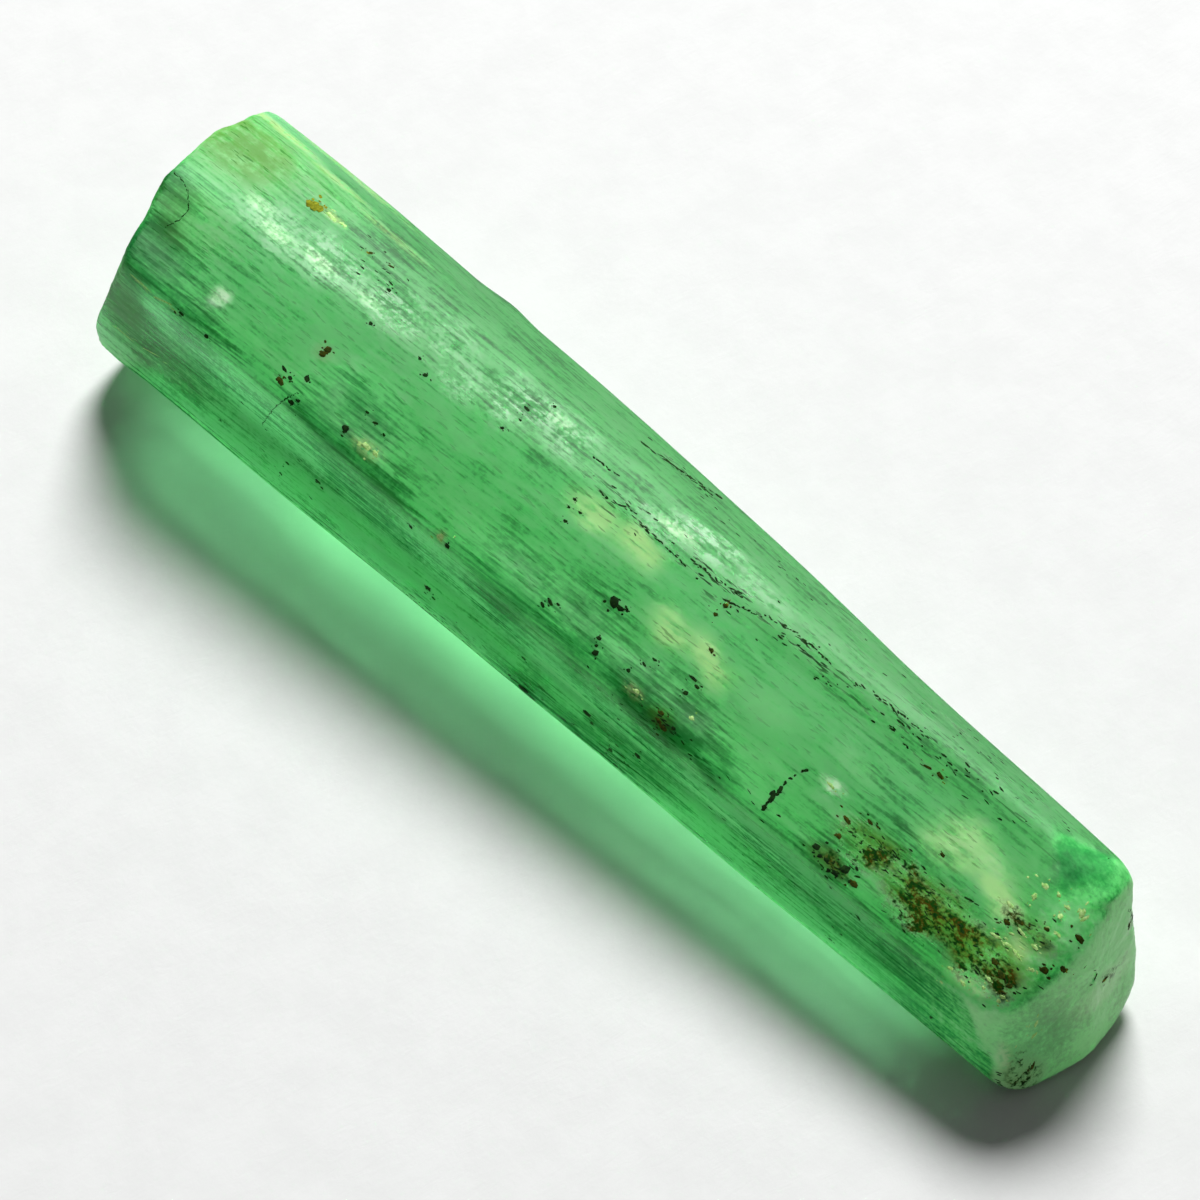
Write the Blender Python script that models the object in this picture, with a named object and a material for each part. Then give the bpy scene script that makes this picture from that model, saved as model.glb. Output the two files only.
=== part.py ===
"""Emerald crystal lying on its side: one piece of beryl, grown whole.

The crystal is a prism along X. Six broad faces and two narrow ones run its length,
stepped by low growth ledges and grooves. It is widest at -X, where it broke off its
rock, and narrows to the end that grew free, at +X. That end has four facets of its
own, the one toward the front pitted by etching. The flat narrow face below is the
one that it rests on.

Metres, +Z up. X is the length, -Y the front. The origin is under the middle of the
crystal's box, on the surface that it rests on.
"""

import math
import random

import bmesh
import bpy
from mathutils import Vector

MM = 0.001

# Driving dimensions, in millimetres. X is measured from the foot of the break here.
END = 18.28                 # the free end, at the foot of the front face
BLANK_LENGTH = 19.2         # the prism before its free end gets its facets
AXIS_Y = 1.5                # the line that the faces are measured from is this far
AXIS_Z = 1.6                # behind the front face and this far above the ground

# The faces in order round the prism: name, the way it faces in degrees (0 is the
# front, 90 is up), its distance from the axis line at five places from the broken end
# to the free end, and the number of strips that it is modelled in.
FACES = (
    ("front", 0, (1.50, 1.50, 1.50, 1.50, 1.50), 11),
    ("front_slope", 60, (1.94, 1.68, 1.36, 1.04, 0.76), 12),
    ("top", 90, (2.12, 1.92, 1.69, 1.46, 1.20), 5),
    ("back_slope", 120, (2.46, 2.18, 1.91, 1.61, 1.32), 6),
    ("back", 180, (2.03, 2.02, 1.80, 1.37, 1.08), 10),
    ("under_back", 240, (2.05, 2.02, 1.92, 1.78, 1.66), 5),
    ("rest", 270, (1.60, 1.60, 1.60, 1.60, 1.60), 1),
    ("under_front", 312, (1.72, 1.78, 1.84, 1.90, 1.96), 5),
)

# Growth ledges: the face, from and to across it, from and to along the crystal (both
# as fractions), and the height in millimetres. A height below zero is a groove.
LEDGES = (
    ("front", 0.12, 0.34, 0.00, 0.58, 0.030),
    ("front", 0.44, 0.56, 0.22, 1.00, -0.028),
    ("front", 0.66, 0.88, 0.08, 0.74, 0.026),
    ("front", 0.20, 0.34, 0.66, 0.96, -0.022),
    ("front_slope", 0.10, 0.23, 0.12, 0.66, 0.030),
    ("front_slope", 0.32, 0.45, 0.38, 1.00, -0.026),
    ("front_slope", 0.54, 0.67, 0.00, 0.52, 0.034),
    ("front_slope", 0.76, 0.90, 0.42, 0.86, -0.050),
    ("top", 0.20, 0.42, 0.00, 0.44, -0.034),
    ("top", 0.58, 0.82, 0.18, 0.66, 0.036),
    ("top", 0.38, 0.62, 0.50, 0.72, -0.024),
    ("back_slope", 0.18, 0.42, 0.05, 0.60, 0.030),
    ("back_slope", 0.58, 0.82, 0.30, 0.90, -0.032),
    ("back_slope", 0.78, 1.00, 0.00, 0.25, -0.050),
    ("back", 0.00, 0.12, 0.00, 0.25, -0.030),
    ("back", 0.22, 0.45, 0.10, 0.80, 0.040),
    ("back", 0.55, 0.68, 0.00, 0.48, -0.040),
    ("back", 0.55, 0.80, 0.55, 1.00, 0.034),
    ("under_back", 0.18, 0.62, 0.16, 0.72, 0.034),
    ("under_front", 0.38, 0.82, 0.10, 0.64, -0.030),
    ("under_front", 0.38, 0.62, 0.70, 1.00, 0.024),
)
LEDGE_RUNOUT = 0.03         # the length over which a ledge rises, as a fraction
FINE_RIDGE = 0.010          # height of the low ridges between the ledges
EDGE_WANDER = 0.018         # how far a long edge strays from straight

# The free end's facets: the way each one faces, and a point that it passes through.
END_FACETS = (
    ((1.00, -0.20, 0.16), (END, 0.00, 0.00)),               # front half of the end
    ((1.00, 0.19, 0.14), (END + 0.53, 0.00, 0.00)),         # back half of the end
    ((0.32, 0.06, 0.94), (END - 1.30, 1.96, 2.91)),         # slope at the top
    ((0.14, -0.50, 0.86), (END - 1.02, 1.20, 2.44)),        # pitted slope at the front
)

# The break: how far it leans with height, and how its top curves away with depth.
BREAK_LEAN = 0.41
BREAK_FALL = -0.69
BREAK_CURVE = 0.147
BREAK_FOOT = 1.0            # it stands upright below this height, and leans above it
BREAK_TOP = 3.6             # the height at which the curve is at its full depth
SPLINTER = (3.45, 3.25)     # a splinter stands out of the break here, as (y, z)
SPLINTER_REACH = 0.26
SPLINTER_WIDTH = 0.30
RIPPLE_HEIGHT = 0.05        # shell-shaped ripples spread from the back of the break
RIPPLE_PITCH = 0.85
RIPPLE_CENTRE = (3.3, 2.9)
BREAK_RINGS = (0.84, 0.64, 0.42, 0.20)

STATIONS = 34               # cross-sections along the crystal
PIT_SIDES = 1               # subdivisions of the ball that cuts a pit

# Etch pits on the pitted slope lie between these corners (mm).
PIT_FIELD = (
    (END - 1.00, 0.80, 2.19),
    (END - 1.00, 1.62, 2.67),
    (END - 0.24, 1.44, 2.44),
    (END - 0.34, 0.20, 1.74),
)
PIT_COUNT = 15
PIT_RADIUS = (0.045, 0.095)

# Single pits on the long faces: the face, where across it and along the crystal (as
# fractions), and the radius (mm). Each is drawn out along X.
LONE_PITS = (
    ("front", 0.62, 0.27, 0.060),
    ("front", 0.40, 0.46, 0.075),
    ("front", 0.60, 0.69, 0.060),
    ("front_slope", 0.28, 0.34, 0.055),
    ("front_slope", 0.50, 0.59, 0.070),
    ("front_slope", 0.48, 0.75, 0.060),
    ("top", 0.50, 0.30, 0.060),
    ("back_slope", 0.50, 0.50, 0.060),
    ("front_slope", 0.36, 0.905, 0.065),
    ("back", 0.50, 0.38, 0.085),
    ("back", 0.48, 0.66, 0.070),
)
PIT_STRETCH = 2.4

# Nicks in the long edges: the face above or behind the edge, the place along the
# crystal (as a fraction), and the size along X, Y and Z (mm).
NICKS = (
    ("front", 0.16, (0.17, 0.05, 0.05)),
    ("front", 0.46, (0.14, 0.06, 0.05)),
    ("front", 0.77, (0.15, 0.05, 0.05)),
    ("front_slope", 0.31, (0.13, 0.05, 0.05)),
    ("front_slope", 0.63, (0.15, 0.05, 0.05)),
    ("back_slope", 0.40, (0.16, 0.06, 0.05)),
    ("under_back", 0.55, (0.20, 0.07, 0.06)),
)

rng = random.Random(58)


def clear_scene():
    for item in list(bpy.data.objects):
        bpy.data.objects.remove(item, do_unlink=True)


def face_normal(angle):
    turn = math.radians(angle)
    return Vector((-math.cos(turn), math.sin(turn)))


def face_distance(distances, along):
    """Distance from the axis line, on a smooth curve through evenly spaced values."""
    last = len(distances) - 1
    i = min(int(along * last), last - 1)
    part = along * last - i
    start = distances[i]
    end = distances[i + 1]
    slope_in = (end - distances[max(i - 1, 0)]) / 2.0
    slope_out = (distances[min(i + 2, last)] - start) / 2.0
    bend = 3.0 * (end - start) - 2.0 * slope_in - slope_out
    swing = 2.0 * (start - end) + slope_in + slope_out
    return start + part * (slope_in + part * (bend + part * swing))


def corner(before, after, along):
    """Where two neighbouring faces meet, as (y, z) in millimetres."""
    first = face_normal(before[1])
    second = face_normal(after[1])
    reach_first = face_distance(before[2], along)
    reach_second = face_distance(after[2], along)
    cross = first.x * second.y - first.y * second.x
    y = (reach_first * second.y - reach_second * first.y) / cross
    z = (first.x * reach_second - second.x * reach_first) / cross
    return Vector((AXIS_Y + y, AXIS_Z + z))


def runout(value, start, end, ramp):
    """1 between start and end, falling to 0 over the ramp on both sides."""
    rise = 1.0 if start <= 0.0 else min(max((value - start) / ramp + 0.5, 0.0), 1.0)
    fall = 1.0 if end >= 1.0 else min(max((end - value) / ramp + 0.5, 0.0), 1.0)
    return rise * fall


def ledge_height(name, across, along):
    height = 0.0
    for face, low, high, start, end, rise in LEDGES:
        if face == name and low <= across <= high:
            height += rise * runout(along, start, end, LEDGE_RUNOUT)
    return height


def break_surface(y, z):
    """How far along X the break lies, at a place in the cross-section."""
    lean = BREAK_LEAN * max(z - BREAK_FOOT, 0.0)
    curve = (BREAK_FALL * y + BREAK_CURVE * y * y) * z / BREAK_TOP
    away = math.hypot(y - RIPPLE_CENTRE[0], z - RIPPLE_CENTRE[1])
    ripple = RIPPLE_HEIGHT * math.cos(math.tau * away / RIPPLE_PITCH) / (1.0 + 0.5 * away)
    beside = math.hypot(y - SPLINTER[0], z - SPLINTER[1])
    splinter = SPLINTER_REACH * max(1.0 - beside / SPLINTER_WIDTH, 0.0)
    return lean + curve + ripple - splinter


def ridge_table():
    """A low ridge or groove for each strip line, the same all along the crystal."""
    return {
        (name, strip): rng.uniform(-FINE_RIDGE, FINE_RIDGE)
        for name, _, _, strips in FACES
        for strip in range(1, strips)
    }


def wander_table():
    """Three waves for each long edge: height, waves along the crystal, phase."""
    return {
        face[0]: [
            (rng.uniform(0.3, 1.0) * EDGE_WANDER, rng.uniform(1.0, 6.0), rng.uniform(0.0, math.tau))
            for _ in range(3)
        ]
        for face in FACES
    }


def edge_wander(waves, along):
    return sum(height * math.sin(math.tau * count * along + phase) for height, count, phase in waves)


def section(along, ridges, wander):
    """The outline of one cross-section, as (y, z) points in order round the crystal."""
    corners = [corner(FACES[i - 1], FACES[i], along) for i in range(len(FACES))]
    outline = []
    for i, (name, angle, _, strips) in enumerate(FACES):
        before = FACES[i - 1]
        start = corners[i].copy()
        start += face_normal(before[1]) * ledge_height(before[0], 1.0, along)
        start += face_normal(angle) * ledge_height(name, 0.0, along)
        if "rest" not in (name, before[0]):
            start += face_normal(before[1]).lerp(face_normal(angle), 0.5) * edge_wander(wander[name], along)
        outline.append(start)
        end = corners[(i + 1) % len(FACES)]
        for strip in range(1, strips):
            across = strip / strips
            rise = ledge_height(name, across, along) + ridges[name, strip]
            outline.append(corners[i].lerp(end, across) + face_normal(angle) * rise)
    return outline


def add_ring(bm, points):
    """A closed loop of edges through the points."""
    verts = [bm.verts.new(Vector(point) * MM) for point in points]
    return [bm.edges.new((verts[i - 1], verts[i])) for i in range(len(verts))]


def station_places():
    places = [i / STATIONS for i in range(STATIONS + 1)]
    for i in range(1, STATIONS):
        places[i] += rng.uniform(-0.22, 0.22) / STATIONS
    return places


def body_ring(along, ridges, wander):
    points = []
    for y, z in section(along, ridges, wander):
        start = break_surface(y, z)
        points.append((start + (BLANK_LENGTH - start) * along, y, z))
    return points


def break_rings(outer):
    """Smaller and smaller loops on the break, inside the crystal's first outline."""
    middle_y = sum(point[1] for point in outer) / len(outer)
    middle_z = sum(point[2] for point in outer) / len(outer)
    rings = []
    for size in BREAK_RINGS:
        ring = []
        for _, y, z in outer:
            ring_y = middle_y + (y - middle_y) * size
            ring_z = middle_z + (z - middle_z) * size
            ring.append((break_surface(ring_y, ring_z), ring_y, ring_z))
        rings.append(ring)
    return rings


def add_prism(bm):
    """The prism, from the innermost loop of its break to its blank free end."""
    ridges = ridge_table()
    wander = wander_table()
    rings = [body_ring(along, ridges, wander) for along in station_places()]
    rings = break_rings(rings[0])[::-1] + rings
    loops = [add_ring(bm, ring) for ring in rings]
    for near, far in zip(loops, loops[1:]):
        bmesh.ops.bridge_loops(bm, edges=near + far)
    for loop in (loops[0], loops[-1]):
        bmesh.ops.contextual_create(bm, geom=loop)


def cut_facet(bm, normal, point):
    """Cut off what lies outside a plane, and close the cut."""
    bmesh.ops.bisect_plane(
        bm,
        geom=bm.verts[:] + bm.edges[:] + bm.faces[:],
        dist=0.0005 * MM,
        plane_co=Vector(point) * MM,
        plane_no=Vector(normal).normalized(),
        clear_outer=True,
    )
    rim = [edge for edge in bm.edges if edge.is_boundary]
    bmesh.ops.contextual_create(bm, geom=rim)


def add_ball(bm, centre, size):
    """A faceted ball of the given half sizes, a cutter for a pit or a nick."""
    ball = bmesh.ops.create_icosphere(bm, subdivisions=PIT_SIDES, radius=1.0)
    turn = rng.uniform(0.0, math.tau)
    for vert in ball["verts"]:
        y = vert.co.y * math.cos(turn) - vert.co.z * math.sin(turn)
        z = vert.co.y * math.sin(turn) + vert.co.z * math.cos(turn)
        vert.co = Vector((
            (centre[0] + vert.co.x * size[0]) * MM,
            (centre[1] + y * size[1]) * MM,
            (centre[2] + z * size[2]) * MM,
        ))


def field_pits():
    """Places and radii of the pits on the pitted slope, none touching another."""
    low_left, low_right, high_right, high_left = (Vector(point) for point in PIT_FIELD)
    pits = []
    while len(pits) < PIT_COUNT:
        along = rng.random()
        across = rng.random()
        place = low_left.lerp(high_left, along).lerp(low_right.lerp(high_right, along), across)
        radius = rng.uniform(*PIT_RADIUS)
        if all((place - other).length > radius + reach + 0.03 for other, reach in pits):
            pits.append((place, radius))
    return pits


def place_on_face(name, across, along):
    """A place on a long face, in millimetres."""
    i = [face[0] for face in FACES].index(name)
    start = corner(FACES[i - 1], FACES[i], along)
    end = corner(FACES[i], FACES[(i + 1) % len(FACES)], along)
    y, z = start.lerp(end, across) + face_normal(FACES[i][1]) * ledge_height(name, across, along)
    first = break_surface(y, z)
    return Vector((first + (BLANK_LENGTH - first) * along, y, z))


def add_pits(bm):
    for place, radius in field_pits():
        add_ball(bm, place, (radius, radius, radius * 0.8))
    for name, across, along, radius in LONE_PITS:
        place = place_on_face(name, across, along)
        add_ball(bm, place, (radius * PIT_STRETCH, radius, radius * 0.8))
    for name, along, size in NICKS:
        add_ball(bm, place_on_face(name, 0.0, along), size)


def emerald_material():
    material = bpy.data.materials.new("emerald")
    material.use_nodes = True
    shader = material.node_tree.nodes["Principled BSDF"]
    shader.inputs["Base Color"].default_value = (0.10, 0.45, 0.17, 1.0)
    shader.inputs["Roughness"].default_value = 0.25
    shader.inputs["Metallic"].default_value = 0.0
    shader.inputs["IOR"].default_value = 1.577
    shader.inputs["Transmission Weight"].default_value = 0.6
    return material


def add_object(name, bm):
    mesh = bpy.data.meshes.new(name)
    bm.to_mesh(mesh)
    bm.free()
    item = bpy.data.objects.new(name, mesh)
    bpy.context.scene.collection.objects.link(item)
    return item


def foot_shift(bm):
    """The move that brings the middle of the box's underside to the origin."""
    low = Vector([min(vert.co[i] for vert in bm.verts) for i in range(3)])
    high = Vector([max(vert.co[i] for vert in bm.verts) for i in range(3)])
    return Vector((-(low.x + high.x) / 2.0, -(low.y + high.y) / 2.0, -low.z))


def build_crystal():
    prism = bmesh.new()
    add_prism(prism)
    for normal, point in END_FACETS:
        cut_facet(prism, normal, point)
    bmesh.ops.remove_doubles(prism, verts=prism.verts[:], dist=0.004 * MM)
    bmesh.ops.triangulate(prism, faces=prism.faces[:])
    bmesh.ops.recalc_face_normals(prism, faces=prism.faces[:])

    pits = bmesh.new()
    add_pits(pits)

    shift = foot_shift(prism)
    bmesh.ops.translate(prism, verts=prism.verts[:], vec=shift)
    bmesh.ops.translate(pits, verts=pits.verts[:], vec=shift)

    crystal = add_object("emerald_crystal", prism)
    crystal.data.materials.append(emerald_material())
    cutter = add_object("pit_cutter", pits)
    cutter.hide_render = True
    cutter.display_type = "WIRE"
    cut = crystal.modifiers.new("pits", "BOOLEAN")
    cut.operation = "DIFFERENCE"
    cut.solver = "EXACT"
    cut.object = cutter
    return crystal


clear_scene()
build_crystal()
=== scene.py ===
# Emerald crystal on a sheet of white paper.
# Metres, +Z up. X runs along the crystal, its broken end at -X; -Y is the front.
import math
import random

import bpy
import numpy as np
from mathutils import Matrix, Vector, noise
from mathutils.bvhtree import BVHTree


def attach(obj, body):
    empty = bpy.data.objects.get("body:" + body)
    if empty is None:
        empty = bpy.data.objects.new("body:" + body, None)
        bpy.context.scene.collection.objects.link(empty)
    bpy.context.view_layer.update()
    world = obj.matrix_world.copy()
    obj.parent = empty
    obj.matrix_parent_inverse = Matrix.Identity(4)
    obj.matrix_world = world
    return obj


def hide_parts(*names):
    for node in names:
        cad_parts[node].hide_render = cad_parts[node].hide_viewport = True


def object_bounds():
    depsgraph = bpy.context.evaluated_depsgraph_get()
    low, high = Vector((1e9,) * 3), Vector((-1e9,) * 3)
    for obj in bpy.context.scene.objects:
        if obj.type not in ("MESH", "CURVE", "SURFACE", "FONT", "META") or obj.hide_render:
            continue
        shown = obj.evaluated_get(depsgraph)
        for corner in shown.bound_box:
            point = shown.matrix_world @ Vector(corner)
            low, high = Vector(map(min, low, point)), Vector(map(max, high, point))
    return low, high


mm = 0.001
smoothAngle = math.radians(40.0)        # faces that meet at less are shaded smooth

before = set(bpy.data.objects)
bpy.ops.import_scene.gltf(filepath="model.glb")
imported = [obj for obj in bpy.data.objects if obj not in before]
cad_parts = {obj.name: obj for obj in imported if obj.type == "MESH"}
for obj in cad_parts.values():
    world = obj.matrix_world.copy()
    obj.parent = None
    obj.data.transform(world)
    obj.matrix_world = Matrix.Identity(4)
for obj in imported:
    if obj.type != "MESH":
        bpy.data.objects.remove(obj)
cadLow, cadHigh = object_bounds()
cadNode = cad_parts["emerald_crystal"]
print("frame loaded")


def deselect():
    if bpy.context.object and bpy.context.object.mode != "OBJECT":
        bpy.ops.object.mode_set(mode="OBJECT")
    bpy.ops.object.select_all(action="DESELECT")


# camera

camera = {
    "target": (-0.160, -0.192, 1.2),    # mm
    "azimuth": 45.888,
    "elevation": 50.0,
    "distance": 74.856,                 # mm
    "lens": 162.0,
    "sensor": 36.0,
    "clip": (1.0, 5000.0),              # mm
}


def addCamera():
    turn = math.radians(camera["azimuth"])
    lift = math.radians(camera["elevation"])
    back = Vector((math.sin(turn) * math.cos(lift), -math.cos(turn) * math.cos(lift), math.sin(lift)))
    place = (Vector(camera["target"]) + back * camera["distance"]) * mm
    bpy.ops.object.camera_add(location=place, rotation=(-back).to_track_quat("-Z", "Y").to_euler())
    made = bpy.context.object
    made.data.lens = camera["lens"]
    made.data.sensor_width = camera["sensor"]
    made.data.clip_start, made.data.clip_end = [value * mm for value in camera["clip"]]
    bpy.context.scene.camera = made


addCamera()

# light

light = {
    "toward": (-0.50, 0.70, 1.0),       # from the crystal to the lamp
    "distance": 300.0,                  # mm
    "radius": 66.0,                     # mm
    "watts": 1.67,
    "sky": 0.12,
}


def addLight():
    toward = Vector(light["toward"]).normalized()
    turn = toward.to_track_quat("Z", "Y").to_euler()
    bpy.ops.object.light_add(type="AREA", location=toward * light["distance"] * mm, rotation=turn)
    lamp = bpy.context.object.data
    lamp.shape = "DISK"
    lamp.size = 2.0 * light["radius"] * mm
    lamp.energy = light["watts"]
    world = bpy.data.worlds.new("studio")
    bpy.context.scene.world = world
    world.use_nodes = True
    world.node_tree.nodes["Background"].inputs["Color"].default_value = (*[light["sky"]] * 3, 1.0)
    bpy.context.scene.view_settings.view_transform = "Standard"
    bpy.context.scene.cycles.blur_glossy = 0.0      # keeps the light that the stone throws on the paper


addLight()
print("camera and light placed")


# shader maths

class Link:
    # a socket that is added, multiplied and compared like a number
    def __init__(self, material, socket):
        self.material = material
        self.socket = socket

    def maths(self, operation, *values):
        return self.material.node("ShaderNodeMath", {"operation": operation}, values)

    def __add__(self, other):
        return self.maths("ADD", self, other)

    def __radd__(self, other):
        return self.maths("ADD", other, self)

    def __sub__(self, other):
        return self.maths("SUBTRACT", self, other)

    def __rsub__(self, other):
        return self.maths("SUBTRACT", other, self)

    def __mul__(self, other):
        return self.maths("MULTIPLY", self, other)

    def __rmul__(self, other):
        return self.maths("MULTIPLY", other, self)

    def atLeast(self, other):
        return self.maths("MAXIMUM", self, other)

    def atMost(self, other):
        return self.maths("MINIMUM", self, other)


class Material:
    # builds a node material from expressions
    def __init__(self, name):
        self.data = bpy.data.materials.new(name)
        self.data.use_nodes = True
        self.tree = self.data.node_tree
        self.tree.nodes.clear()
        self.output = self.tree.nodes.new("ShaderNodeOutputMaterial")

    def node(self, kind, settings=None, inputs=(), output=0):
        made = self.tree.nodes.new(kind)
        for key, value in (settings or {}).items():
            if key == "stops":
                self.setStops(made.color_ramp, value)
            else:
                setattr(made, key, value)
        pairs = inputs.items() if isinstance(inputs, dict) else enumerate(inputs)
        for key, value in pairs:
            if isinstance(value, Link):
                self.tree.links.new(value.socket, made.inputs[key])
            else:
                made.inputs[key].default_value = value
        return Link(self, made.outputs[output])

    def setStops(self, ramp, stops):
        while len(ramp.elements) > 1:
            ramp.elements.remove(ramp.elements[-1])
        for i, (place, colour) in enumerate(stops):
            stop = ramp.elements[0] if i == 0 else ramp.elements.new(place)
            stop.position = place
            stop.color = (*colour, 1.0)

    def place(self, scale):
        # where a point is on the piece, in millimetres times the scale
        coordinates = self.node("ShaderNodeTexCoord", output="Object")
        scale = [value / mm for value in scale]
        return self.node("ShaderNodeVectorMath", {"operation": "MULTIPLY"}, [coordinates, scale])

    def noise(self, scale, detail, rough=0.55, distortion=0.0):
        inputs = {
            "Vector": self.place(scale),
            "Scale": 1.0,
            "Detail": detail,
            "Roughness": rough,
            "Distortion": distortion,
        }
        return self.node("ShaderNodeTexNoise", None, inputs)

    def step(self, value, start, end, low=0.0, high=1.0):
        # eases from low to high as the value goes from start to end
        inputs = {"Value": value, "From Min": start, "From Max": end, "To Min": low, "To Max": high}
        return self.node("ShaderNodeMapRange", {"interpolation_type": "SMOOTHSTEP"}, inputs)

    def mix(self, factor, first, second):
        first = first if isinstance(first, Link) else (*first, 1.0)
        second = second if isinstance(second, Link) else (*second, 1.0)
        return self.node("ShaderNodeMix", {"data_type": "RGBA"}, {0: factor, 6: first, 7: second}, output=2)

    def surface(self, shader):
        self.tree.links.new(shader.socket, self.output.inputs["Surface"])

    def volume(self, shader):
        self.tree.links.new(shader.socket, self.output.inputs["Volume"])


def srgb(red, green, blue):
    # a colour as a paint chart gives it, 0 to 255
    return tuple((value / 255.0) ** 2.2 for value in (red, green, blue))


# paper

paper = {
    "size": 2000.0,                     # mm
    "colour": (0.62, 0.625, 0.62),
    "fleck": 0.965,                     # how bright its darker flecks are beside the rest
    "pulp": (1.1, 1.1, 1.1),            # per mm, how fine the flecks are, and the fibres
    "fibres": (7.0, 2.0, 1.0),
    "height": 0.02,                     # mm, how far the fibres stand
    "rough": 0.95,
    "gloss": 0.1,
}


def paperMaterial():
    sheet = Material("paper")
    pulp = sheet.noise(paper["pulp"], 6.0, 0.7)
    fibres = sheet.noise(paper["fibres"], 3.0, 0.6, 1.5)
    dark = [value * paper["fleck"] for value in paper["colour"]]
    colour = sheet.mix(sheet.step(pulp, 0.35, 0.65), dark, paper["colour"])
    bump = {"Strength": 0.5, "Distance": paper["height"] * mm, "Height": pulp * 0.7 + fibres * 0.3}
    finish = {
        "Base Color": colour,
        "Roughness": paper["rough"],
        "Specular IOR Level": paper["gloss"],
        "Normal": sheet.node("ShaderNodeBump", None, bump),
    }
    sheet.surface(sheet.node("ShaderNodeBsdfPrincipled", None, finish))
    return sheet.data


deselect()
bpy.ops.mesh.primitive_plane_add(size=paper["size"] * mm)
floor = bpy.context.object
floor.name = "paper"
floor.data.materials.append(paperMaterial())
print("paper laid")

# the crystal's skin, drawn over the solid with the relief of its growth

skin = {
    "around": 440,       # points round the crystal
    "breakRings": 32,     # rings over the broken end
    "bodyRings": 108,
    "tipRings": 58,       # rings over the free end and its pitted slope
    "breakCentre": 1.0,                 # mm in from each end, where its cap is measured from
    "tipCentre": 1.7,
    "axis": (-0.2, 1.5),                # mm, Y and Z of the line that the rings are measured from
    "weld": 0.0005,                     # mm, how close points are joined
    "probes": 241,                      # points tried round each ring, to space its own evenly
    "soften": (0.12, 0.10),             # mm, how far edges are rounded, round the crystal and along it
    "crisp": (0.03, 0.03),              # mm, the same on the sliver and the break
    "worn": (0.26, 0.26),               # mm, the same where the free end is worn
    "striae": 0.004,                    # mm, depth of the broad growth lines
    "striaeScale": (0.22, 7.0),         # per mm, along the crystal and across it
    "hair": 0.002,                      # mm, depth of the fine ones
    "hairScale": (0.6, 14.0),
    "hairStart": 9.0,                   # keeps the two kinds of lines apart
    "grain": 0.010,                     # mm, depth of the etching on the ends
    "grainScale": 4.5,
    "grainOctaves": (0.8, 2.1, 4),      # their falloff, spacing and number
    # where each part of the skin starts and where it is full: by the way it faces, or by its place in mm
    "breakFacing": (0.25, 0.6),
    "tipFacing": (0.08, 0.2),
    "tipPlace": (7.2, 7.7),
    "murkyPlace": (6.6, 8.2),           # the cloudy stretch before the free end
    "sliverPlace": ((3.2, 4.0), (0.9, 1.2), (2.3, 2.7)),
    "breakPlace": (7.9, 8.6),
    "breakCrisp": 0.7,                  # how much crisper its edges are, beside the sliver's
    "wornPlace": ((8.1, 8.7), (-0.5, 0.1), (0.6, 1.2)),
}


def crystalTree():
    # the solid's surface, to measure the skin and what lies on it from
    deselect()
    guide = cadNode.copy()
    guide.data = cadNode.data.copy()
    bpy.context.scene.collection.objects.link(guide)
    guide.select_set(True)
    bpy.context.view_layer.objects.active = guide
    bpy.ops.object.mode_set(mode="EDIT")
    bpy.ops.mesh.select_all(action="SELECT")
    bpy.ops.mesh.remove_doubles(threshold=skin["weld"] * mm)
    bpy.ops.object.mode_set(mode="OBJECT")
    tree = BVHTree.FromObject(guide, bpy.context.evaluated_depsgraph_get())
    bpy.data.objects.remove(guide)
    return tree


tree = crystalTree()
axisY, axisZ = [value * mm for value in skin["axis"]]
breakX = cadLow.x + skin["breakCentre"] * mm
tipX = cadHigh.x - skin["tipCentre"] * mm


def tilted(angle, tilt):
    # a direction round X, tilted toward -X or +X: tilt 0 is square to the axis
    ring = math.cos(tilt)
    return Vector((math.sin(tilt), ring * math.sin(angle), -ring * math.cos(angle)))


def evenHits(origin, tilt, count):
    # surface points round the axis, evenly spaced along the surface
    fine = np.linspace(0.0, math.tau, skin["probes"])
    points = np.array([tree.ray_cast(origin, tilted(angle, tilt))[0] for angle in fine])
    steps = np.linalg.norm(np.diff(points, axis=0), axis=1)
    travelled = np.concatenate([[0.0], np.cumsum(steps)])
    wanted = np.linspace(0.0, travelled[-1], count, endpoint=False)
    return [tree.ray_cast(origin, tilted(angle, tilt))[0] for angle in np.interp(wanted, travelled, fine)]


def ringPlaces():
    # where each ring is measured from, and its tilt
    rows = []
    for k in range(1, skin["breakRings"]):
        rows.append((breakX, -math.pi / 2.0 * (1.0 - k / skin["breakRings"])))
    for k in range(skin["bodyRings"] + 1):
        rows.append((breakX + (tipX - breakX) * k / skin["bodyRings"], 0.0))
    for k in range(1, skin["tipRings"]):
        rows.append((tipX, math.pi / 2.0 * k / skin["tipRings"]))
    return rows


def easing(value, start, end):
    share = min(max((value - start) / (end - start), 0.0), 1.0)
    return share * share * (3.0 - 2.0 * share)


def endShares(point, normal):
    # how much a point belongs to the break, and to the free end with its pitted slope
    broken = easing(-normal.x, *skin["breakFacing"])
    tip = easing(normal.x, *skin["tipFacing"]) * easing(point.x / mm, *skin["tipPlace"])
    return broken, tip


def crispShare(place):
    # how much a place belongs to the sliver along the top of the back, or to the break
    along, across, lift = skin["sliverPlace"]
    sliver = easing(place.y, *across) * easing(place.z, *lift) * easing(-place.x, *along)
    return max(sliver, easing(-place.x, *skin["breakPlace"]) * skin["breakCrisp"])


def wornShare(place):
    # how much a place belongs to the worn edge of the free end's pitted slope
    along, across, lift = skin["wornPlace"]
    return easing(place.x, *along) * easing(-place.y, *across) * easing(place.z, *lift)


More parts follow.
